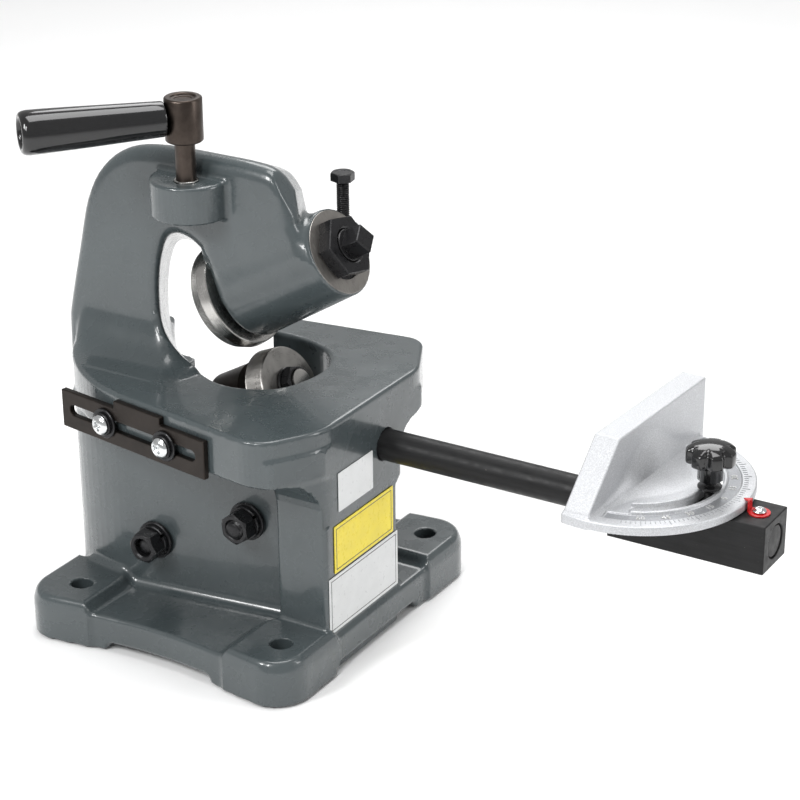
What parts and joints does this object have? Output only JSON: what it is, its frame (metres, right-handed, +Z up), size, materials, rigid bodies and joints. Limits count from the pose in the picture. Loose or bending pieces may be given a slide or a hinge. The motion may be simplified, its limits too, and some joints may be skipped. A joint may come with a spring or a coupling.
{
  "type": "manual rolling metal shear",
  "caption": "Bench rolling shear: C-shaped cast frame, tilted disc blades, square drive, slotted edge stop and a sliding protractor guide.",
  "frame": {"origin": "centre of the four foot holes, on the underside of the feet", "axes": "+Z up, +X along the guide rod, +Y the way the sheet is fed"},
  "size_m": [0.4815, 0.223, 0.3442],
  "materials": {
    "enamel": "glossy grey-green enamel over rough cast iron",
    "black_steel": "black-oxide steel with bright worn edges",
    "bright_steel": "ground steel",
    "dark_steel": "hardened brown-black steel",
    "bronze": "sintered bronze",
    "black_plastic": "polished black plastic",
    "zinc": "zinc plated",
    "satin_black": "satin black",
    "cast_aluminium": "bead-blasted cast aluminium",
    "red_paint": "red lacquer",
    "plate_white": "plain printed plate",
    "plate_yellow": "plain printed plate"
  },
  "bodies": {
    "root": {"frame_casting": "enamel", "lower_axle": "bright_steel", "axle_washer": "black_steel", "axle_nut": "black_steel", "lower_blade_carrier": "dark_steel", "carrier_studs": "black_steel", "stud_washers": "black_steel", "stud_spring_washers": "black_steel", "stud_nuts": "black_steel", "bracket_washers": "zinc", "bracket_screws": "zinc", "guide_rod": "satin_black", "rod_set_screw": "black_steel", "mark_plate": "plate_white", "maker_plate": "plate_yellow", "model_plate": "plate_white"},
    "sleeve": {"eccentric_sleeve": "black_steel", "sleeve_bushes": "bronze"},
    "upper_shaft": {"drive_shaft": "black_steel", "upper_blade": "bright_steel", "blade_key": "bright_steel", "blade_washer": "dark_steel", "blade_screw": "black_steel"},
    "lower_roll": {"lower_blade": "bright_steel", "lower_bush": "bronze"},
    "clamp": {"clamp_bolt": "black_steel"},
    "handle": {"handle_spindle": "dark_steel", "handle_knuckle": "dark_steel", "grip_bolt": "black_steel"},
    "grip": {"handle_grip": "black_plastic"},
    "bracket": {"edge_bracket": "dark_steel"},
    "block": {"guide_block": "satin_black", "block_set_screw": "black_steel", "pivot_screw": "zinc", "knob_stud": "zinc", "knob_washer": "zinc", "pointer": "red_paint", "pointer_screw": "zinc"},
    "head": {"miter_head": "cast_aluminium"},
    "knob": {"clamp_knob": "black_plastic"}
  },
  "joints": [
    {"name": "sleeve_turn", "type": "hinge", "parent": "root", "child": "sleeve", "pos_m": [0.0621, 0.0095, 0.2489], "axis": [0.8721, 0, 0.4894], "range_deg": [0, 180]},
    {"name": "blade_spin", "type": "hinge", "parent": "sleeve", "child": "upper_shaft", "pos_m": [0.06137, 0.0095, 0.25021], "axis": [0.8721, 0, 0.4894], "continuous": true},
    {"name": "lower_blade_spin", "type": "hinge", "parent": "root", "child": "lower_roll", "pos_m": [0.0236, 0.0095, 0.1528], "axis": [0.8721, 0, 0.4894], "continuous": true},
    {"name": "clamp_bolt_turn", "type": "hinge", "parent": "root", "child": "clamp", "pos_m": [0.0505, 0.032, 0.26], "axis": [0, 0, 1], "continuous": true},
    {"name": "handle_turn", "type": "hinge", "parent": "root", "child": "handle", "pos_m": [-0.0205, -0.03, 0.29], "axis": [0, 0, 1], "continuous": true},
    {"name": "grip_spin", "type": "hinge", "parent": "handle", "child": "grip", "pos_m": [-0.0205, -0.03, 0.331], "axis": [-0.6455, -0.7638, 0], "continuous": true},
    {"name": "bracket_slide", "type": "slide", "parent": "root", "child": "bracket", "axis": [0.9863, -0.165, 0], "range_m": [-0.0215, 0.028]},
    {"name": "block_slide", "type": "slide", "parent": "root", "child": "block", "axis": [1, 0, 0], "range_m": [-0.09, 0]},
    {"name": "head_swing", "type": "hinge", "parent": "block", "child": "head", "pos_m": [0.264, 0.0095, 0.147], "axis": [0, 0, 1], "range_deg": [-55, 55]},
    {"name": "knob_turn", "type": "hinge", "parent": "block", "child": "knob", "pos_m": [0.309, 0.0095, 0.17], "axis": [0, 0, 1], "continuous": true}
  ]
}
